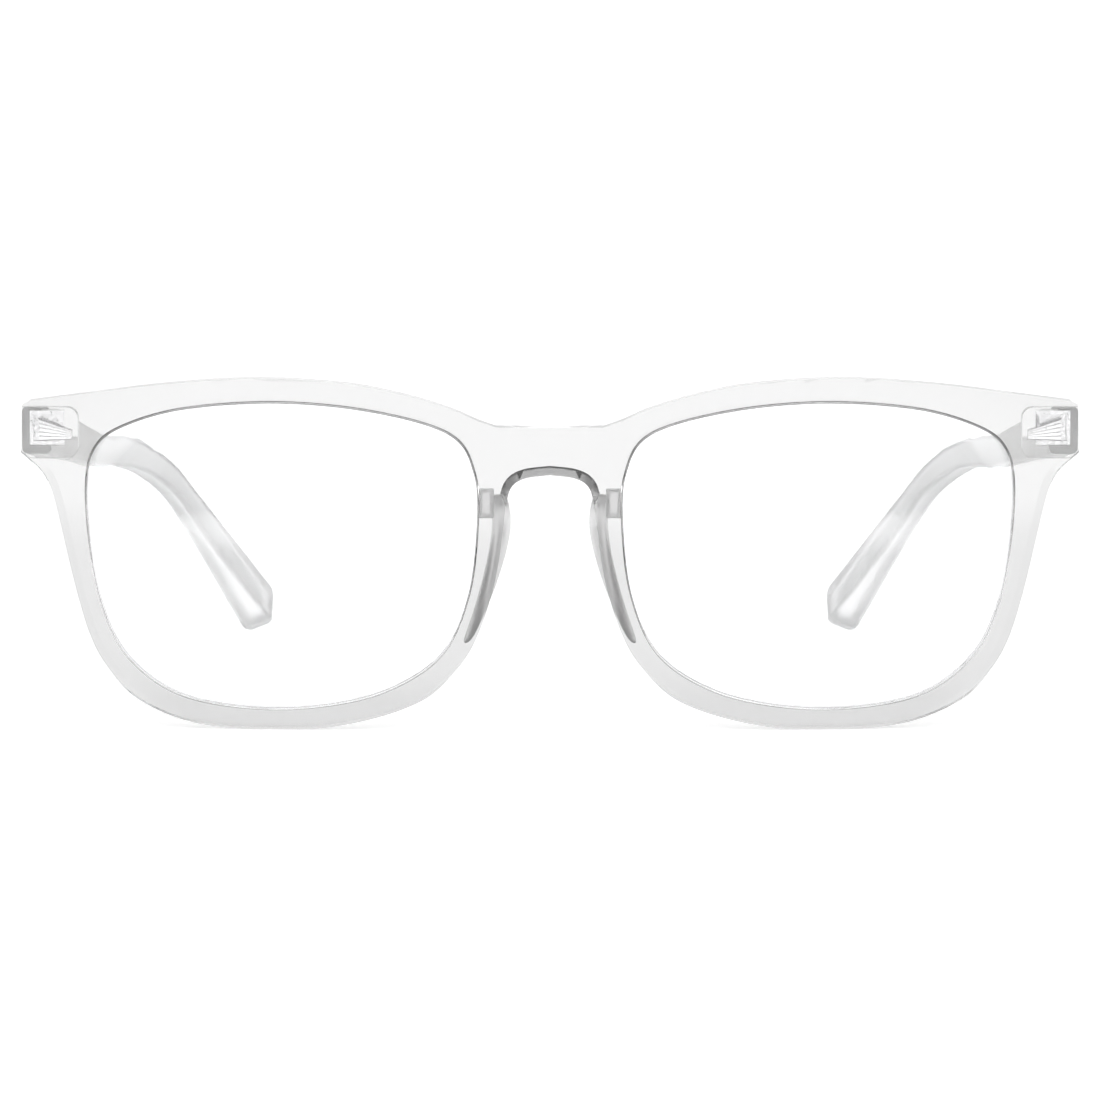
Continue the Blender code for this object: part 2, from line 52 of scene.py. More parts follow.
# Places taken from the frame
front_low, front_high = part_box("front_frame")
FRONT_Y = front_low.y
LUG_BACK_Y = front_high.y
BUTT_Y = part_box("left_temple")[0].y
HINGE = Vector(next(j for j in frame["joints"] if j["name"] == "left_temple_fold")["pos_m"])

# Front: the solids' dimensions, with rounder edges and a shallower V groove for the lens
FRONT_THICKNESS = 4.0 * MM
FRONT_BOW_RADIUS = 500 * MM
EDGE_ROUND = 0.9 * MM
EDGE_SEGMENTS = 6
SMALL_ROUND = 0.25 * MM
SMALL_SEGMENTS = 2
LUG_BLANK_DEPTH = 4.0 * MM
LUG_INNER_X = 63.3 * MM
LUG_Z = (36.0 * MM, 42.9 * MM)
LUG_CORNER = 1.5 * MM
LUG_OVERRUN = 15 * MM
GROOVE_DEPTH = 0.28 * MM
GROOVE_HALF_WIDTH = 0.6 * MM
LENS_THICKNESS = 1.6 * MM
LENS_IN_GROOVE = 0.16 * MM
LENS_EDGE_FLAT = 0.2 * MM
GROOVE_OVERCUT = 0.4 * MM
LENS_DOME = 1.2 * MM
LENS_CENTRE = (36.0 * MM, 23.5 * MM)
LENS_HALF_SIZE = (26.2 * MM, 20.8 * MM)

# The bridge's underside: where its slope starts behind the front face, how far it rises, and where its
# arch starts in the outline's side
SADDLE_START = 0.8 * MM
SADDLE_RISE = 1.1 * MM
SADDLE_OVERRUN = 0.1 * MM
KEYHOLE_START = -4

# Half of the outer outline, x > 0, in mm: the brow, then the side and keyhole back to the middle
BROW = [(7.2, 40.7), (9.5, 41.5), (13.5, 43.2), (19.5, 45.0), (27.6, 46.5), (39.7, 47.1), (51.7, 46.3),
        (61.8, 45.0), (69.9, 43.9)]
ENDPIECE_CORNERS = [(70.9, 43.4), (71.0, 37.0)]
SIDE = [(70.0, 36.1), (68.4, 34.7), (67.1, 32.5), (66.1, 29.0), (64.7, 22.9), (63.4, 17.6), (61.7, 12.2),
        (59.5, 8.2), (55.8, 4.2), (49.7, 1.3), (43.3, 0.15), (37.0, 0.0), (31.0, 0.15), (25.0, 1.2),
        (19.5, 2.9), (15.5, 5.1), (11.6, 9.3), (9.5, 13.2), (7.9, 18.0), (6.9, 22.5), (6.3, 27.0),
        (5.8, 30.8), (5.0, 32.9), (3.2, 33.9), (0.0, 34.3)]

# The lens opening for x > 0, in mm, anticlockwise from the outer side
OPENING = [(62.1, 32.7), (61.0, 37.5), (57.4, 40.4), (49.0, 42.9), (36.2, 43.8), (23.5, 42.6), (13.4, 39.6),
           (10.2, 34.5), (9.8, 27.5), (11.0, 18.0), (14.6, 10.1), (22.0, 5.2), (31.5, 3.0), (41.5, 2.9),
           (50.5, 4.9), (57.0, 10.0), (60.3, 17.2), (61.7, 25.0)]

# Temple stations in mm: x, depth behind the front, z, height, thickness
TEMPLE_STATIONS = [(68.9, 10.8, 39.7, 6.4, 3.9), (68.1, 30.0, 37.6, 6.2, 3.4),
                   (66.9, 60.0, 33.9, 5.3, 3.1), (65.8, 85.0, 30.8, 4.7, 3.0),
                   (64.4, 97.0, 29.8, 4.5, 3.0), (61.5, 105.5, 28.3, 4.5, 2.9),
                   (57.3, 112.8, 24.2, 5.0, 2.7), (53.9, 118.0, 18.7, 6.2, 2.8),
                   (50.6, 122.4, 13.2, 7.3, 3.3), (47.1, 126.6, 7.2, 8.1, 4.1),
                   (44.9, 128.9, 3.6, 8.2, 4.7)]
TIP_ROUND = 2.2
TIP_THINNING = 0.45
SECTION_CORNER = 0.8
CORNER_SHARE = 0.6

# Nose pad levels in mm: z, bulge x, rim x, outer x, depth behind the rim
PAD_LEVELS = [(31.6, 6.0, 6.0, 7.6, 1.2), (30.4, 5.3, 5.9, 7.9, 3.4), (27.2, 4.7, 6.3, 7.7, 5.6),
              (23.0, 5.6, 6.8, 8.3, 6.2), (18.6, 7.1, 7.8, 9.4, 5.2), (14.6, 8.9, 9.2, 10.6, 2.6),
              (11.2, 10.7, 10.7, 11.9, 0.8)]
PAD_SHOULDER = ((7.5, 28.3), (9.6, 32.2))
PAD_SHOULDER_DEPTH = 2.0
PAD_SHOULDER_TAPER = 0.55
PAD_SHOULDER_GAP = 0.15
PAD_GAP = 0.03
PAD_SMOOTHING = 3
# A pad's section in shares of its depth, then how far its back and its crest lie towards the lens in mm
PAD_BULGE_SHARE = 0.35
PAD_BACK_SHARE = 0.85
PAD_OUTER_SHARE = 0.7
PAD_BACK_INSET = 0.7
PAD_CREST_INSET = 0.6

# Hinge metal
KNUCKLE_RADIUS = 1.35 * MM
BORE_RADIUS = 0.7 * MM
KNUCKLE_HEIGHT = 1.15 * MM
KNUCKLE_GAP = 0.15 * MM
HINGE_SEGMENTS = 24
STRAP_OVERLAP = 0.8 * MM
METAL_ROUND = 0.06 * MM
METAL_SHARP_DEGREES = 50
POCKET_GAP = 0.1 * MM
LEAF_THICKNESS = 1.1 * MM
LEAF_INNER_X = 65.1 * MM
LEAF_SUNK = 0.05 * MM
LEAF_BORDER = 0.5 * MM
DISH_SHALLOW = 0.12 * MM
DISH_DEEP = 0.65 * MM
TEMPLE_LEAF_OFFSET = (0.6 * MM, 2.0 * MM)
TEMPLE_LEAF_THICKNESS = 1.0 * MM
TEMPLE_LEAF_GAP = 0.15 * MM
TEMPLE_ROOM_GAP = 0.3 * MM
KNUCKLE_ROOM_BELOW = 0.2 * MM

# Fan anchors, sunk in the plastic: each end's place along, then its lowest and highest point
ANCHOR_ROOT = 0.2 * MM
FRONT_ANCHOR_DEPTH = 1.3 * MM
FRONT_ANCHOR_WIDE = (68.5 * MM, 38.5 * MM, 41.4 * MM)
FRONT_ANCHOR_NARROW = (64.1 * MM, 38.7 * MM, 39.8 * MM)
TEMPLE_ANCHOR_DEPTH = 1.0 * MM
TEMPLE_ANCHOR_INSET = (0.8 * MM, 1.2 * MM)
TEMPLE_ANCHOR_WIDE_Z = (38.9 * MM, 41.1 * MM)
TEMPLE_ANCHOR_NARROW_Z = (39.4 * MM, 40.6 * MM)
RIB_COUNT = 5
# A rib's crest as shares of (its width, the fan's depth), and the valley after it
RIB_CREST = ((0.02, 0.98), (0.05, 1.0), (0.78, 0.92))
RIB_VALLEY = (0.82, 0.96)
RIB_VALLEY_DEPTH = 0.6

# Hinge screw
SCREW_SHAFT_RADIUS = 0.6 * MM
SCREW_HEAD_HEIGHT = 0.6 * MM
SCREW_BEVEL = 0.12 * MM
SCREW_BEVEL_DROP = 2.5 * SCREW_BEVEL
SCREW_CROWN = (0.7, 0.02 * MM)
SCREW_TAIL = 0.2 * MM
SCREW_SEGMENTS = 64
SLOT_HALF_WIDTH = 0.15 * MM
SLOT_DEPTH = 0.3 * MM
SLOT_REACH = 2 * MM
SLOT_OVERCUT = 1 * MM

# Cutters at the endpieces and temples, which reach well past what they cut
CUTTER_X = (60 * MM, 80 * MM)
CUTTER_Z = (30 * MM, 60 * MM)
CUTTER_DEPTH = 20 * MM
ROOM_OVERCUT = 1 * MM
POCKET_OVERCUT = 10

# How finely the curves are followed
OUTLINE_STEP = 0.6 * MM
BOW_SLICE = 2 * MM
TEMPLE_STEP = 1.0
WELD = 0.0005 * MM
FLAT_ANGLE = math.radians(0.05)
MERGE = 0.001 * MM
TURN_STEP = 15
TIP_TURN_STEP = 10

# The camera stands in front of the bridge and looks slightly down
CAMERA_DISTANCE = 0.9
CAMERA_PITCH = math.radians(5.44)
CAMERA_LENS = 220.4
AIM_HEIGHT = 24.3 * MM
SENSOR_WIDTH = 36
CLIP_RANGE = (0.01, 100)

# The floor's painted glow, though the floor is no lamp: a strip that widens away from the camera glows, and
# most of all close to the camera
FLOOR_SIZE = 60
FLOOR_GAP = 0.02 * MM
STRIP_HALF_WIDTH = 0.2
STRIP_WIDENING = 0.1
STRIP_FADE = 0.22
STRIP_GLOW = 0.62
FRONT_GLOW = 1.6
FRONT_FROM = 0.28
FRONT_FULL = 0.42

# The part of a noise texture's output that nearly all of its points lie in
NOISE_RANGE = (0.3, 0.7)

# Enough for light to pass through every layer of clear plastic
LIGHT_BOUNCES = 24

# The room: dim and even, darker above the horizon on each side
ROOM_LIGHT = 0.5
DARK_SIDES = 0.6
SIDE_FROM = 0.35
SIDE_FULL = 0.7
HORIZON_TOP = 0.13
DARK_FULL_HEIGHT = 0.3

# Soft lights in the room: direction, half angles of the full light and of its edge, and strength
SOFT_LIGHTS = [((0.0, -0.8, 0.6), 10, 28, 2.5),
               ((0.0, 0.95, 0.3), 15, 35, 0.6)]


# ---------------------------------------------------------------- mesh helpers

def new_object(name, mesh):
    made = bpy.data.objects.new(name, mesh)
    bpy.context.scene.collection.objects.link(made)
    return made


def baked(obj):
    """The object's mesh with its modifiers applied; the object is removed."""
    bpy.context.view_layer.update()
    evaluated = obj.evaluated_get(bpy.context.evaluated_depsgraph_get())
    mesh = bpy.data.meshes.new_from_object(evaluated)
    bpy.data.objects.remove(obj)
    return mesh


def clean(mesh, change=None):
    """Welds a mesh, makes any change to it as a bmesh, and turns its faces outwards."""
    bm = bmesh.new()
    bm.from_mesh(mesh)
    bmesh.ops.remove_doubles(bm, verts=bm.verts, dist=WELD)
    if change:
        change(bm)
    bmesh.ops.recalc_face_normals(bm, faces=bm.faces)
    bm.to_mesh(mesh)
    bm.free()
    return mesh


def moved(mesh, x, y, z):
    mesh.transform(Matrix.Translation((x, y, z)))
    return mesh


def smooth_run(points, step, closed=False):
    """Points along a Catmull-Rom curve through the given ones, about one step apart."""
    points = [Vector(p) for p in points]
    count = len(points)
    run = []
    for i in range(count if closed else count - 1):
        if closed:
            a, b, c, d = (points[(i + k) % count] for k in (-1, 0, 1, 2))
        else:
            b, c = points[i], points[i + 1]
            a = points[i - 1] if i else 2 * b - c
            d = points[i + 2] if i + 2 < count else 2 * c - b
        pieces = max(1, round((c - b).length / step))
        for k in range(pieces):
            t = k / pieces
            run.append(0.5 * (2 * b + (c - a) * t + (2 * a - 5 * b + 4 * c - d) * t**2
                              + (3 * b - a - 3 * c + d) * t**3))
    if not closed:
        run.append(points[-1])
    return run


def grown(loop, distance):
    """An anticlockwise loop moved outwards by a distance."""
    count = len(loop)
    result = []
    for i, point in enumerate(loop):
        along = (loop[(i + 1) % count] - loop[i - 1]).normalized()
        result.append(point + distance * Vector((along.y, -along.x)))
    return result


def circle(radius, segments):
    turn = 2 * math.pi / segments
    return [Vector((radius * math.cos(turn * i), radius * math.sin(turn * i))) for i in range(segments)]


def plate(loops, thickness):
    """A flat plate in XY, from z = 0 to its thickness. Loops after the first one are holes."""
    curve = bpy.data.curves.new("plate", "CURVE")
    curve.dimensions = "2D"
    curve.fill_mode = "BOTH"
    curve.extrude = thickness / 2
    for loop in loops:
        spline = curve.splines.new("POLY")
        spline.points.add(len(loop) - 1)
        for point, place in zip(spline.points, loop):
            point.co = (place.x, place.y, 0, 1)
        spline.use_cyclic_u = True
    mesh = clean(baked(new_object("plate", curve)))
    bpy.data.curves.remove(curve)
    return moved(mesh, 0, 0, thickness / 2)


def upright(mesh):
    """Turns a plate drawn in XY to stand in XZ, its front face at y = 0."""
    for vertex in mesh.vertices:
        x, height, depth = vertex.co
        vertex.co = (x, depth, height)
    mesh.flip_normals()
    return mesh


def block(low, high, side=1):
    """A box mesh between two corners, given for the left side."""
    bm = bmesh.new()
    bmesh.ops.create_cube(bm, size=1)
    for vertex in bm.verts:
        vertex.co = [low[k] + (vertex.co[k] + 0.5) * (high[k] - low[k]) for k in range(3)]
        vertex.co.x *= side
    bmesh.ops.recalc_face_normals(bm, faces=bm.faces)
    mesh = bpy.data.meshes.new("block")
    bm.to_mesh(mesh)
    bm.free()
    return mesh


def loft(rings):
    """A closed body through rings that have the same number of points."""
    bm = bmesh.new()
    levels = [[bm.verts.new(p) for p in ring] for ring in rings]
    for lower, upper in zip(levels, levels[1:]):
        for i in range(len(lower)):
            k = (i + 1) % len(lower)
            bm.faces.new((lower[i], lower[k], upper[k], upper[i]))
    bm.faces.new(levels[0])
    bm.faces.new(levels[-1])
    mesh = bpy.data.meshes.new("loft")
    bm.to_mesh(mesh)
    bm.free()
    return clean(mesh)


def combined(mesh, operation, *others):
    """A mesh cut by, or joined with, the others."""
    body = new_object("body", mesh)
    guides = [new_object("guide", other) for other in others]
    for guide in guides:
        boolean = body.modifiers.new("boolean", "BOOLEAN")
        boolean.operation = operation
        boolean.object = guide
    result = baked(body)
    for guide in guides:
        bpy.data.objects.remove(guide)
    return result


def rounded(mesh, width, segments, degrees=60):
    """A mesh with its sharp edges rounded."""
    body = new_object("body", mesh)
    bevel = body.modifiers.new("rounding", "BEVEL")
    bevel.width = width
    bevel.segments = segments
    bevel.limit_method = "ANGLE"
    bevel.angle_limit = math.radians(degrees)
    return baked(body)


def finished(name, mesh, body, material, sharp_degrees=30):
    """A piece that stands for the CAD node of its name: shaded, with its finish, riding on its body."""
    mesh.materials.clear()
    mesh.materials.append(material)
    mesh.shade_smooth()
    mesh.set_sharp_from_angle(angle=math.radians(sharp_degrees))
    piece = new_object(f"{name}_fine", mesh)
    weighted = piece.modifiers.new("flat_faces_stay_flat", "WEIGHTED_NORMAL")
    weighted.keep_sharp = True
    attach(piece, body)
    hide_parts(name)
    return piece


# ---------------------------------------------------------------- materials

def principled(name, slot=None):
    material = bpy.data.materials.new(name)
    material.use_nodes = True
    material["slot"] = slot or name
    return material, material.node_tree, material.node_tree.nodes["Principled BSDF"]


def noise_texture(tree, scale, detail=2.0):
    coordinates = tree.nodes.new("ShaderNodeTexCoord")
    texture = tree.nodes.new("ShaderNodeTexNoise")
    texture.inputs["Scale"].default_value = scale
    texture.inputs["Detail"].default_value = detail
    tree.links.new(coordinates.outputs["Object"], texture.inputs["Vector"])
    return texture


def spread(tree, source, low, high):
    """A texture's 0 to 1 spread over a range."""
    ramp = tree.nodes.new("ShaderNodeMapRange")
    ramp.inputs["From Min"].default_value = NOISE_RANGE[0]
    ramp.inputs["From Max"].default_value = NOISE_RANGE[1]
    ramp.inputs["To Min"].default_value = low
    ramp.inputs["To Max"].default_value = high
    tree.links.new(source.outputs["Fac"], ramp.inputs["Value"])
    return ramp


def bump(tree, shader, source, strength, distance):
    node = tree.nodes.new("ShaderNodeBump")
    node.inputs["Strength"].default_value = strength
    node.inputs["Distance"].default_value = distance
    tree.links.new(source.outputs["Fac"], node.inputs["Height"])
    tree.links.new(node.outputs["Normal"], shader.inputs["Normal"])


def clear_plastic(name, tint, transmission, haze_range):
    """Moulded clear nylon: polished, with a slight haze that varies as the melt flowed."""
    material, tree, shader = principled(name, "clear_plastic")
    shader.inputs["Base Color"].default_value = (tint, tint, tint, 1)
    shader.inputs["Transmission Weight"].default_value = transmission
    shader.inputs["IOR"].default_value = 1.52
    haze = noise_texture(tree, scale=60, detail=3)
    ramp = spread(tree, haze, *haze_range)
    tree.links.new(ramp.outputs["Result"], shader.inputs["Roughness"])
    ripple = noise_texture(tree, scale=180, detail=1)
    bump(tree, shader, ripple, strength=0.15, distance=0.05 * MM)
    return material


def clear_lens():
    """A colourless lens; its coat shows only as weaker reflections and a trace of blue."""
    material, tree, shader = principled("coated_lens", "clear_lens")
    shader.inputs["Base Color"].default_value = (0.99, 0.995, 1.0, 1)
    shader.inputs["Transmission Weight"].default_value = 1.0
    shader.inputs["IOR"].default_value = 1.5
    shader.inputs["Specular IOR Level"].default_value = 0.25
    smear = noise_texture(tree, scale=40, detail=4)
    ramp = spread(tree, smear, low=0.0, high=0.012)
    tree.links.new(ramp.outputs["Result"], shader.inputs["Roughness"])
    return material


def hinge_metal():
    """Bright plated nickel silver with fine tumbling marks."""
    material, tree, shader = principled("plated_nickel_silver", "hinge_metal")
    shader.inputs["Base Color"].default_value = (0.93, 0.93, 0.94, 1)
    shader.inputs["Metallic"].default_value = 1.0
    marks = noise_texture(tree, scale=2500, detail=4)
    ramp = spread(tree, marks, low=0.12, high=0.3)
    tree.links.new(ramp.outputs["Result"], shader.inputs["Roughness"])
    bump(tree, shader, marks, strength=0.2, distance=0.01 * MM)
    return material


def screw_metal():
    """Turned steel with fine marks."""
    material, tree, shader = principled("turned_steel", "screw_metal")
    shader.inputs["Base Color"].default_value = (0.66, 0.66, 0.67, 1)
    shader.inputs["Metallic"].default_value = 1.0
    marks = noise_texture(tree, scale=4000, detail=2)
    ramp = spread(tree, marks, low=0.2, high=0.38)
    tree.links.new(ramp.outputs["Result"], shader.inputs["Roughness"])
    return material


# ---------------------------------------------------------------- front and lenses

def bow(x):
    """How far the front curves back at a distance from its middle."""
    return x * x / (2 * FRONT_BOW_RADIUS)


def slice_up(bm, normal, step):
    """Cuts a mesh into slices across one axis, so that it can bend."""
    normal = Vector(normal)
    reach = math.ceil(max(abs(v.co.dot(normal)) for v in bm.verts) / step)
    for i in range(-reach, reach + 1):
        everything = bm.verts[:] + bm.edges[:] + bm.faces[:]
        bmesh.ops.bisect_plane(bm, geom=everything, dist=WELD, plane_co=i * step * normal, plane_no=normal)


def bent(bm):
    """Slices a flat front into upright strips and bends it back to the bow."""
    bmesh.ops.dissolve_limit(bm, angle_limit=FLAT_ANGLE, verts=bm.verts, edges=bm.edges)
    slice_up(bm, (1, 0, 0), BOW_SLICE)
    for vertex in bm.verts:
        vertex.co.y += bow(vertex.co.x)


def front_outline():
    half = [Vector((0, BROW[0][1])) * MM]
    half += smooth_run([Vector(p) * MM for p in BROW], OUTLINE_STEP)
    half += [Vector(p) * MM for p in ENDPIECE_CORNERS]
    half += smooth_run([Vector(p) * MM for p in SIDE], OUTLINE_STEP)
    mirrored = [Vector((-p.x, p.y)) for p in reversed(half[1:-1])]
    return half + mirrored


def lens_outline(side, growth):
    loop = grown(smooth_run([Vector(p) * MM for p in OPENING], OUTLINE_STEP, closed=True), growth)
    return [Vector((side * p.x, p.y)) for p in loop]


def lug_outline(side):
    """The endpiece's deep part, seen from the front; it runs out past the side of the front."""
    bottom, top = LUG_Z
    outer_x = LUG_INNER_X + LUG_OVERRUN
    loop = [Vector((outer_x, bottom)), Vector((outer_x, top))]
    for height, first in ((top - LUG_CORNER, 90), (bottom + LUG_CORNER, 180)):
        centre = Vector((LUG_INNER_X + LUG_CORNER, height))
        for turn in range(0, 91, TURN_STEP):
            angle = math.radians(first + turn)
            loop.append(centre + LUG_CORNER * Vector((math.cos(angle), math.sin(angle))))
    return [Vector((side * p.x, p.y)) for p in loop]


def behind_the_rims():
    """What is cut away behind the front so that only the two endpiece lugs stay full depth."""
    reach = LUG_INNER_X + 2 * LUG_OVERRUN
    around = [Vector((x, z)) for x, z in ((-reach, -reach), (reach, -reach), (reach, reach), (-reach, reach))]
    loops = [around] + [lug_outline(side) for _, side in SIDES]
    return moved(upright(plate(loops, 2 * LUG_BLANK_DEPTH)), 0, FRONT_THICKNESS, 0)


def rim_loft(side, levels):
    """A body with the lens's outline, through levels that are (growth of the outline, depth)."""
    rings = []
    for growth, depth in levels:
        rings.append([Vector((p.x, depth, p.y)) for p in lens_outline(side, growth)])
    return loft(rings)


def groove(side):
    """The V-shaped groove that holds the lens, as the body to be cut away."""
    middle = FRONT_THICKNESS / 2
    slope = GROOVE_HALF_WIDTH / GROOVE_DEPTH
    spread_width = slope * (GROOVE_DEPTH + GROOVE_OVERCUT)
    levels = [(-GROOVE_OVERCUT, middle - spread_width), (GROOVE_DEPTH, middle),
              (-GROOVE_OVERCUT, middle + spread_width)]
    return rim_loft(side, levels)


def bridge_saddle():
    """What slopes the bridge's underside upwards towards the back."""
    half = smooth_run([Vector(p) * MM for p in SIDE[KEYHOLE_START:]], OUTLINE_STEP)
    arch = half + [Vector((-p.x, p.y)) for p in reversed(half[:-1])]
    rings = []
    for growth, depth in ((-SADDLE_OVERRUN, SADDLE_START), (SADDLE_RISE, FRONT_THICKNESS + SADDLE_OVERRUN)):
        rings.append([Vector((p.x, depth, p.y)) for p in grown(arch, growth)])
    return loft(rings)


def front(material):
    """Both rims, the bridge and the endpieces, with a groove for each lens and a pocket for each leaf."""
    depth = FRONT_THICKNESS + LUG_BLANK_DEPTH
    mesh = rounded(upright(plate([front_outline()], depth)), EDGE_ROUND, EDGE_SEGMENTS)
    openings = [moved(upright(plate([lens_outline(side, 0)], 3 * depth)), 0, -depth, 0) for _, side in SIDES]
    mesh = clean(combined(mesh, "DIFFERENCE", behind_the_rims(), bridge_saddle(), *openings))
    mesh = rounded(mesh, SMALL_ROUND, SMALL_SEGMENTS)
    mesh = clean(combined(mesh, "DIFFERENCE", *[groove(side) for _, side in SIDES]), bent)
    moved(mesh, 0, FRONT_Y, 0)
    lug_low = (CUTTER_X[0], LUG_BACK_Y, CUTTER_Z[0])
    lug_high = (CUTTER_X[1], LUG_BACK_Y + CUTTER_DEPTH, CUTTER_Z[1])
    cuts = []
    for _, side in SIDES:
        cuts.append(block(lug_low, lug_high, side))
        cuts.append(front_leaf_plate(side, POCKET_GAP))
        cuts.append(front_anchor(side, POCKET_GAP))
    mesh = combined(mesh, "DIFFERENCE", *cuts)
    return finished("front_frame", mesh, "front", material)


def domed(bm):
    """Slices a flat lens into cells, domes it forwards and bends it to the bow of the front."""
    bmesh.ops.dissolve_limit(bm, angle_limit=FLAT_ANGLE, verts=bm.verts, edges=bm.edges)
    slice_up(bm, (1, 0, 0), BOW_SLICE)
    slice_up(bm, (0, 0, 1), BOW_SLICE)
    for vertex in bm.verts:
        across = (abs(vertex.co.x) - LENS_CENTRE[0]) / LENS_HALF_SIZE[0]
        up = (vertex.co.z - LENS_CENTRE[1]) / LENS_HALF_SIZE[1]
        vertex.co.y += bow(vertex.co.x) - LENS_DOME * max(0, 1 - across**2 - up**2)


def lens(name, side, material):
    """A domed lens whose edge runs out into the groove."""
    ramp = (LENS_THICKNESS - LENS_EDGE_FLAT) / 2
    levels = [(0, 0), (LENS_IN_GROOVE, ramp), (LENS_IN_GROOVE, LENS_THICKNESS - ramp), (0, LENS_THICKNESS)]
    mesh = clean(rim_loft(side, levels), domed)
    moved(mesh, 0, FRONT_Y + (FRONT_THICKNESS - LENS_THICKNESS) / 2, 0)
    return finished(f"{name}_lens", mesh, "front", material)


# ---------------------------------------------------------------- nose pads

def nose_pad(name, side, material):
    """A saddle on the back of the rim, with a square shoulder at its top beside the lens."""
    rings = []
    base = (FRONT_Y + FRONT_THICKNESS) / MM + PAD_GAP
    for z, bulge_x, rim_x, outer_x, depth in PAD_LEVELS:
        start = base + bow(rim_x * MM) / MM
        section = [(rim_x, start), (bulge_x, start + PAD_BULGE_SHARE * depth),
                   (bulge_x + PAD_BACK_INSET, start + PAD_BACK_SHARE * depth),
                   ((bulge_x + outer_x) / 2 + PAD_CREST_INSET, start + depth),
                   (outer_x, start + PAD_OUTER_SHARE * depth), (outer_x, start)]
        rings.append([Vector((side * x, y, z)) * MM for x, y in section])
    pad = new_object("pad", loft(rings))
    smooth = pad.modifiers.new("smooth", "SUBSURF")
    smooth.levels = smooth.render_levels = PAD_SMOOTHING
    mesh = baked(pad)
    (low_x, low_z), (high_x, high_z) = PAD_SHOULDER
    straight = PAD_SHOULDER_DEPTH - PAD_SHOULDER_TAPER
    rings = []
    for inset, depth in ((0, 0), (0, straight), (PAD_SHOULDER_TAPER, PAD_SHOULDER_DEPTH)):
        y = base + PAD_SHOULDER_GAP + depth
        corners = [(low_x + inset, low_z + inset), (high_x - inset, low_z + inset),
                   (high_x - inset, high_z - inset), (low_x + inset, high_z - inset)]
        rings.append([Vector((side * x, y, z)) * MM for x, z in corners])
    shoulder = rounded(loft(rings), SMALL_ROUND / 2, SMALL_SEGMENTS)
    return finished(f"{name}_nose_pad", combined(mesh, "UNION", shoulder), "front", material)


# ---------------------------------------------------------------- hinges

def front_leaf_plate(side, gap):
    """The plate let into the lug's back; with a gap it is the pocket, which is open at the back."""
    back = LUG_BACK_Y + (POCKET_OVERCUT * gap if gap else -LEAF_SUNK)
    low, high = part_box("left_front_hinge_leaf")
    low = Vector((LEAF_INNER_X - gap, LUG_BACK_Y - LEAF_THICKNESS - gap, low.z - gap))
    high = Vector((high.x + gap, back, high.z + gap))
    return block(low, high, side)


def leaf_dish(side):
    """The sunk middle of the front leaf, deeper towards the outer side."""
    low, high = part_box("left_front_hinge_leaf")
    face = LUG_BACK_Y - LEAF_THICKNESS
    low = Vector((LEAF_INNER_X + LEAF_BORDER, face - DISH_SHALLOW, low.z + LEAF_BORDER))
    high = Vector((high.x - LEAF_BORDER, face + DISH_SHALLOW, high.z - LEAF_BORDER))
    mesh = block(low, high, side)
    for vertex in mesh.vertices:
        if vertex.co.y > face and abs(vertex.co.x) > (low.x + high.x) / 2:
            vertex.co.y = face + DISH_DEEP
    return mesh


def anchor(wide_end, narrow_end, depth, gap):
    """A fan whose ribs face forwards (-Y); with a gap it is the plain pocket for one.

    Each end is (place along, lowest, highest).
    """
    rings = []
    longer = math.copysign(gap, wide_end[0] - narrow_end[0])
    for (place, low, high), outwards in ((wide_end, longer), (narrow_end, -longer)):
        place, low, high = place + outwards, low - gap, high + gap
        pitch = (high - low) / RIB_COUNT
        ring = [Vector((place, ANCHOR_ROOT, low))]
        for i in range(RIB_COUNT):
            start = low + i * pitch
            for share, height in RIB_CREST:
                rise = depth + gap if gap else depth * height
                ring.append(Vector((place, -rise, start + share * pitch)))
            if i + 1 < RIB_COUNT and not gap:
                sunk = -RIB_VALLEY_DEPTH * depth
                ring += [Vector((place, sunk, start + share * pitch)) for share in RIB_VALLEY]
        ring.append(Vector((place, ANCHOR_ROOT, high)))
        rings.append(ring)
    return loft(rings)


def front_anchor(side, gap):
    ends = [(side * place, low, high) for place, low, high in (FRONT_ANCHOR_WIDE, FRONT_ANCHOR_NARROW)]
    return moved(anchor(*ends, FRONT_ANCHOR_DEPTH, gap), 0, LUG_BACK_Y - LEAF_THICKNESS, 0)


def temple_leaf_box(gap):
    """The temple leaf's plate, reaching back from the knuckle; with a gap it is the room for it."""
    low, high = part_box("left_temple_hinge_leaf")
    inner_x = HINGE.x + TEMPLE_LEAF_OFFSET[0]
    low = Vector((inner_x, HINGE.y + TEMPLE_LEAF_OFFSET[1] - gap, low.z - gap))
    return low, Vector((inner_x + TEMPLE_LEAF_THICKNESS + gap, high.y + gap, high.z + gap))


def temple_anchor(side, gap):
    """The same fan along the temple, its ribs facing outwards."""
    low, high = temple_leaf_box(0)
    wide = (low.y + TEMPLE_ANCHOR_INSET[0], *TEMPLE_ANCHOR_WIDE_Z)
    narrow = (high.y - TEMPLE_ANCHOR_INSET[1], *TEMPLE_ANCHOR_NARROW_Z)
    mesh = anchor(wide, narrow, TEMPLE_ANCHOR_DEPTH, gap)
    for vertex in mesh.vertices:
        along, outwards, z = vertex.co
        vertex.co = (side * (high.x - outwards), along, z)
    return clean(mesh)


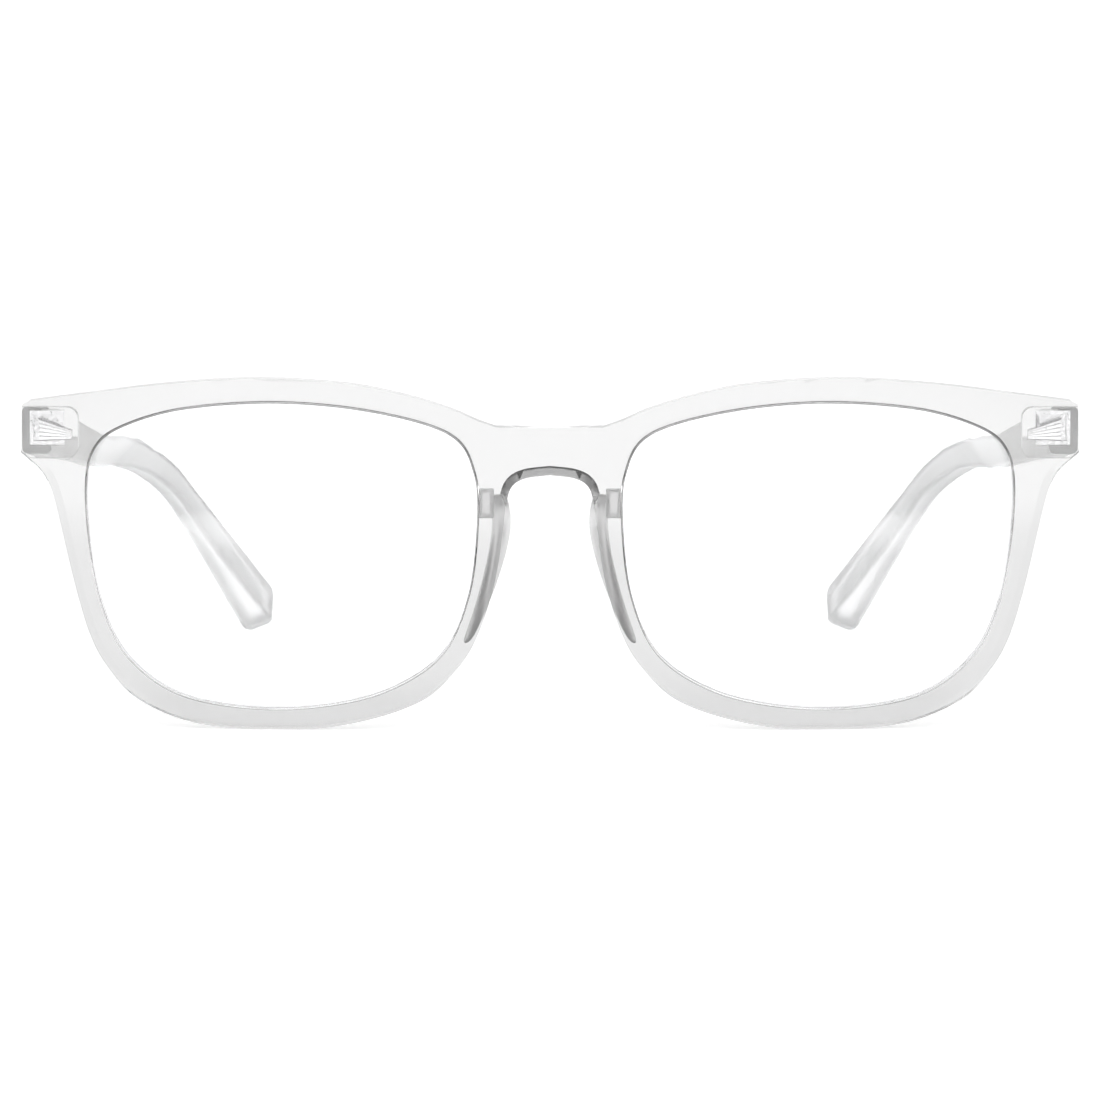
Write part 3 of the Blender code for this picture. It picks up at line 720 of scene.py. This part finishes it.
def knuckle(side, index, towards, length):
    """One knuckle with its strap, which runs towards -Y (front leaf) or +Y (temple leaf)."""
    half_turn = [math.pi * i / HINGE_SEGMENTS for i in range(HINGE_SEGMENTS + 1)]
    arc = [Vector((KNUCKLE_RADIUS * math.cos(a), -towards * KNUCKLE_RADIUS * math.sin(a))) for a in half_turn]
    strap = [Vector((-KNUCKLE_RADIUS, towards * length)), Vector((KNUCKLE_RADIUS, towards * length))]
    mesh = plate([arc + strap, circle(BORE_RADIUS, 2 * HINGE_SEGMENTS)], KNUCKLE_HEIGHT)
    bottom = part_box("left_hinge_screw")[0].z + SCREW_TAIL + index * (KNUCKLE_HEIGHT + KNUCKLE_GAP)
    return moved(mesh, side * HINGE.x, HINGE.y, bottom)


def front_leaf(name, side, material):
    """The dished plate with its fan and the upper and lower knuckle."""
    reach = HINGE.y - LUG_BACK_Y + LEAF_THICKNESS / 2
    knuckles = [knuckle(side, index, -1, reach) for index in (0, 2)]
    mesh = combined(front_leaf_plate(side, 0), "DIFFERENCE", leaf_dish(side))
    mesh = combined(mesh, "UNION", front_anchor(side, 0), *knuckles)
    mesh = rounded(clean(mesh), METAL_ROUND, SMALL_SEGMENTS, METAL_SHARP_DEGREES)
    return finished(f"{name}_front_hinge_leaf", mesh, "front", material)


def temple_leaf(name, side, material):
    """The plate with its fan and the middle knuckle."""
    low, high = temple_leaf_box(0)
    reach = low.y - HINGE.y + STRAP_OVERLAP
    mesh = combined(block(low, high, side), "UNION", temple_anchor(side, 0), knuckle(side, 1, 1, reach))
    mesh = rounded(clean(mesh), METAL_ROUND, SMALL_SEGMENTS, METAL_SHARP_DEGREES)
    return finished(f"{name}_temple_hinge_leaf", mesh, f"{name}_temple", material)


def screw(name, side, material):
    """A turned screw, head up, with a straight slot."""
    low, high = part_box(f"{name}_hinge_screw")
    head_radius = (high.x - low.x) / 2
    head_base = high.z - SCREW_HEAD_HEIGHT
    crown_share, crown_drop = SCREW_CROWN
    profile = [(0, high.z), (crown_share * head_radius, high.z - crown_drop),
               (head_radius - SCREW_BEVEL, high.z - SCREW_BEVEL), (head_radius, high.z - SCREW_BEVEL_DROP),
               (head_radius, head_base + SCREW_BEVEL / 2), (head_radius - SCREW_BEVEL / 2, head_base),
               (SCREW_SHAFT_RADIUS, head_base), (SCREW_SHAFT_RADIUS, low.z + SCREW_BEVEL),
               (SCREW_SHAFT_RADIUS - SCREW_BEVEL, low.z), (0, low.z)]
    mesh = bpy.data.meshes.new("screw")
    mesh.from_pydata([(x, 0, z) for x, z in profile], [(i, i + 1) for i in range(len(profile) - 1)], [])
    body = new_object("screw", mesh)
    turned = body.modifiers.new("turned", "SCREW")
    turned.steps = turned.render_steps = SCREW_SEGMENTS
    turned.use_merge_vertices = True
    turned.merge_threshold = MERGE
    mesh = moved(baked(body), side * HINGE.x, HINGE.y, 0)
    slot_low = (-SLOT_REACH, HINGE.y - SLOT_HALF_WIDTH, high.z - SLOT_DEPTH)
    slot_high = (SLOT_REACH, HINGE.y + SLOT_HALF_WIDTH, high.z + SLOT_OVERCUT)
    slot = moved(block(slot_low, slot_high), side * HINGE.x, 0, 0)
    mesh = combined(clean(mesh), "DIFFERENCE", slot)
    return finished(f"{name}_hinge_screw", mesh, "front", material)


# ---------------------------------------------------------------- temples

def temple_section(half_thickness, half_height):
    """A rounded rectangle: across the temple, then up it."""
    radius = min(SECTION_CORNER, half_thickness * CORNER_SHARE)
    corners = [(1, 1, 0), (-1, 1, 90), (-1, -1, 180), (1, -1, 270)]
    section = []
    for across, up, start in corners:
        centre = Vector((across * (half_thickness - radius), up * (half_height - radius)))
        for degrees in range(0, 91, TURN_STEP):
            angle = math.radians(start + degrees)
            section.append(centre + radius * Vector((math.cos(angle), math.sin(angle))))
    return section


def temple_rings(side):
    stations = smooth_run(TEMPLE_STATIONS, TEMPLE_STEP)
    last = stations[-1]
    direction = Vector((last - stations[-2])[:3]).normalized()
    rings = []
    for i, station in enumerate(stations):
        before = stations[max(i - 1, 0)]
        after = stations[min(i + 1, len(stations) - 1)]
        along = Vector((after - before)[:3]).normalized()
        rings.append((Vector(station[:3]), along, station[4] / 2, station[3] / 2))
    for degrees in range(TIP_TURN_STEP, 90, TIP_TURN_STEP):
        part = math.sin(math.radians(degrees))
        shrink = math.cos(math.radians(degrees))
        half_thickness = last[4] / 2 * (1 - (1 - shrink) * TIP_THINNING)
        half_height = last[3] / 2 - (1 - shrink) * TIP_ROUND
        centre = Vector(last[:3]) + direction * TIP_ROUND * part
        rings.append((centre, direction, half_thickness, half_height))
    placed = []
    for centre, along, half_thickness, half_height in rings:
        across = (Vector((1, 0, 0)) - along.x * along).normalized()
        up = across.cross(along)
        section = temple_section(half_thickness, half_height)
        placed.append([centre + p.x * across + p.y * up for p in section])
    butt = (BUTT_Y - FRONT_Y) / MM
    start = rings[0][1]
    placed[0] = [p + start * ((butt - p.y) / start.y) for p in placed[0]]
    return [[Vector((side * p.x * MM, p.y * MM + FRONT_Y, p.z * MM)) for p in ring] for ring in placed]


def temple(name, side, material):
    """A temple with its tip, cut away round the knuckles and the leaf."""
    mesh = loft(temple_rings(side))
    screw_low, screw_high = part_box("left_hinge_screw")
    low, high = temple_leaf_box(TEMPLE_LEAF_GAP)
    room_low = (CUTTER_X[0], BUTT_Y - ROOM_OVERCUT, screw_low.z - KNUCKLE_ROOM_BELOW)
    room_high = (HINGE.x + KNUCKLE_RADIUS + TEMPLE_ROOM_GAP, HINGE.y + KNUCKLE_RADIUS + TEMPLE_ROOM_GAP,
                 screw_high.z + TEMPLE_ROOM_GAP)
    knuckle_room = block(room_low, room_high, side)
    leaf_room = block((CUTTER_X[0], HINGE.y, low.z), high, side)
    mesh = combined(mesh, "DIFFERENCE", knuckle_room, leaf_room, temple_anchor(side, POCKET_GAP))
    return finished(f"{name}_temple", mesh, f"{name}_temple", material)


# ---------------------------------------------------------------- camera, floor and light

def mapped(tree, value, low, high, to_low, to_high):
    """A value spread from one range over another, levelling off smoothly at both ends."""
    ramp = tree.nodes.new("ShaderNodeMapRange")
    ramp.interpolation_type = "SMOOTHSTEP"
    for socket, number in (("From Min", low), ("From Max", high), ("To Min", to_low), ("To Max", to_high)):
        ramp.inputs[socket].default_value = number
    tree.links.new(value, ramp.inputs["Value"])
    return ramp.outputs["Result"]


def combined_value(tree, operation, first, second):
    """Two values, each a socket or a number, put together by a math node."""
    node = tree.nodes.new("ShaderNodeMath")
    node.operation = operation
    for socket, value in zip(node.inputs, (first, second)):
        if isinstance(value, (int, float)):
            socket.default_value = value
        else:
            tree.links.new(value, socket)
    return node.outputs["Value"]


def floor():
    """White paper with a painted glow: a strip through the object glows, and more so near the camera."""
    bpy.ops.mesh.primitive_plane_add(size=FLOOR_SIZE, location=(0, 0, front_low.z - FLOOR_GAP))
    ground = bpy.context.object
    ground.name = "floor"
    material, tree, shader = principled("floor_paper_painted_glow")
    shader.inputs["Base Color"].default_value = (0.9, 0.9, 0.9, 1)
    shader.inputs["Roughness"].default_value = 1.0
    shader.inputs["Specular IOR Level"].default_value = 0.0
    shader.inputs["Emission Color"].default_value = (1, 1, 1, 1)
    coordinates = tree.nodes.new("ShaderNodeTexCoord")
    split = tree.nodes.new("ShaderNodeSeparateXYZ")
    tree.links.new(coordinates.outputs["Object"], split.inputs["Vector"])
    away = combined_value(tree, "MAXIMUM", split.outputs["Y"], 0.0)
    edge = combined_value(tree, "MULTIPLY", away, STRIP_WIDENING)
    sideways = combined_value(tree, "ABSOLUTE", split.outputs["X"], 0.0)
    beyond = combined_value(tree, "SUBTRACT", sideways, edge)
    across = mapped(tree, beyond, STRIP_HALF_WIDTH, STRIP_HALF_WIDTH + STRIP_FADE, 1.0, 0.0)
    towards = combined_value(tree, "MULTIPLY", split.outputs["Y"], -1.0)
    along = mapped(tree, towards, FRONT_FROM, FRONT_FULL, STRIP_GLOW, STRIP_GLOW + FRONT_GLOW)
    # Painted glow: the paper floor's emission, strongest in the strip and near the camera
    tree.links.new(combined_value(tree, "MULTIPLY", across, along), shader.inputs["Emission Strength"])
    ground.data.materials.append(material)


def studio():
    """An even room, darker on both sides, with soft lights behind the camera and behind the object."""
    world = bpy.data.worlds.new("studio")
    bpy.context.scene.world = world
    world.use_nodes = True
    tree = world.node_tree
    background = tree.nodes["Background"]
    background.inputs["Color"].default_value = (1, 1, 1, 1)
    coordinates = tree.nodes.new("ShaderNodeTexCoord")
    split = tree.nodes.new("ShaderNodeSeparateXYZ")
    tree.links.new(coordinates.outputs["Generated"], split.inputs["Vector"])
    sideways = combined_value(tree, "ABSOLUTE", split.outputs["X"], 0.0)
    side = mapped(tree, sideways, SIDE_FROM, SIDE_FULL, 0.0, DARK_SIDES)
    raised = mapped(tree, split.outputs["Z"], HORIZON_TOP, DARK_FULL_HEIGHT, 0.0, ROOM_LIGHT)
    dark = combined_value(tree, "MULTIPLY", side, raised)
    light = combined_value(tree, "SUBTRACT", ROOM_LIGHT, dark)
    for direction, inner, outer, strength in SOFT_LIGHTS:
        aim = tree.nodes.new("ShaderNodeVectorMath")
        aim.operation = "DOT_PRODUCT"
        aim.inputs[1].default_value = Vector(direction).normalized()
        tree.links.new(coordinates.outputs["Generated"], aim.inputs[0])
        edge, full = math.cos(math.radians(outer)), math.cos(math.radians(inner))
        soft = mapped(tree, aim.outputs["Value"], edge, full, 0.0, strength)
        light = combined_value(tree, "ADD", light, soft)
    tree.links.new(light, background.inputs["Strength"])


def camera():
    data = bpy.data.cameras.new("camera")
    data.lens = CAMERA_LENS
    data.sensor_width = SENSOR_WIDTH
    data.clip_start, data.clip_end = CLIP_RANGE
    eye = bpy.data.objects.new("camera", data)
    bpy.context.scene.collection.objects.link(eye)
    aim = Vector((0, FRONT_Y, AIM_HEIGHT))
    back = Vector((0, -math.cos(CAMERA_PITCH), math.sin(CAMERA_PITCH)))
    eye.location = aim + CAMERA_DISTANCE * back
    eye.rotation_euler = (math.radians(90) - CAMERA_PITCH, 0, 0)
    bpy.context.scene.camera = eye


# ---------------------------------------------------------------- the object

camera()
floor()
studio()
scene = bpy.context.scene
scene.view_settings.view_transform = "Standard"
scene.cycles.max_bounces = LIGHT_BOUNCES
scene.cycles.transmission_bounces = LIGHT_BOUNCES

plastic = clear_plastic("moulded_clear_nylon", tint=0.68, transmission=1.0, haze_range=(0.015, 0.05))
pad_plastic = clear_plastic("moulded_pad_nylon", tint=0.88, transmission=0.9, haze_range=(0.3, 0.4))
temple_plastic = clear_plastic("moulded_temple_nylon", tint=1.0, transmission=0.8, haze_range=(0.3, 0.4))
lens_plastic = clear_lens()
plated = hinge_metal()
steel = screw_metal()

front(plastic)
for side_name, side_sign in SIDES:
    lens(side_name, side_sign, lens_plastic)
    nose_pad(side_name, side_sign, pad_plastic)
    front_leaf(side_name, side_sign, plated)
    temple_leaf(side_name, side_sign, plated)
    screw(side_name, side_sign, steel)
    temple(side_name, side_sign, temple_plastic)
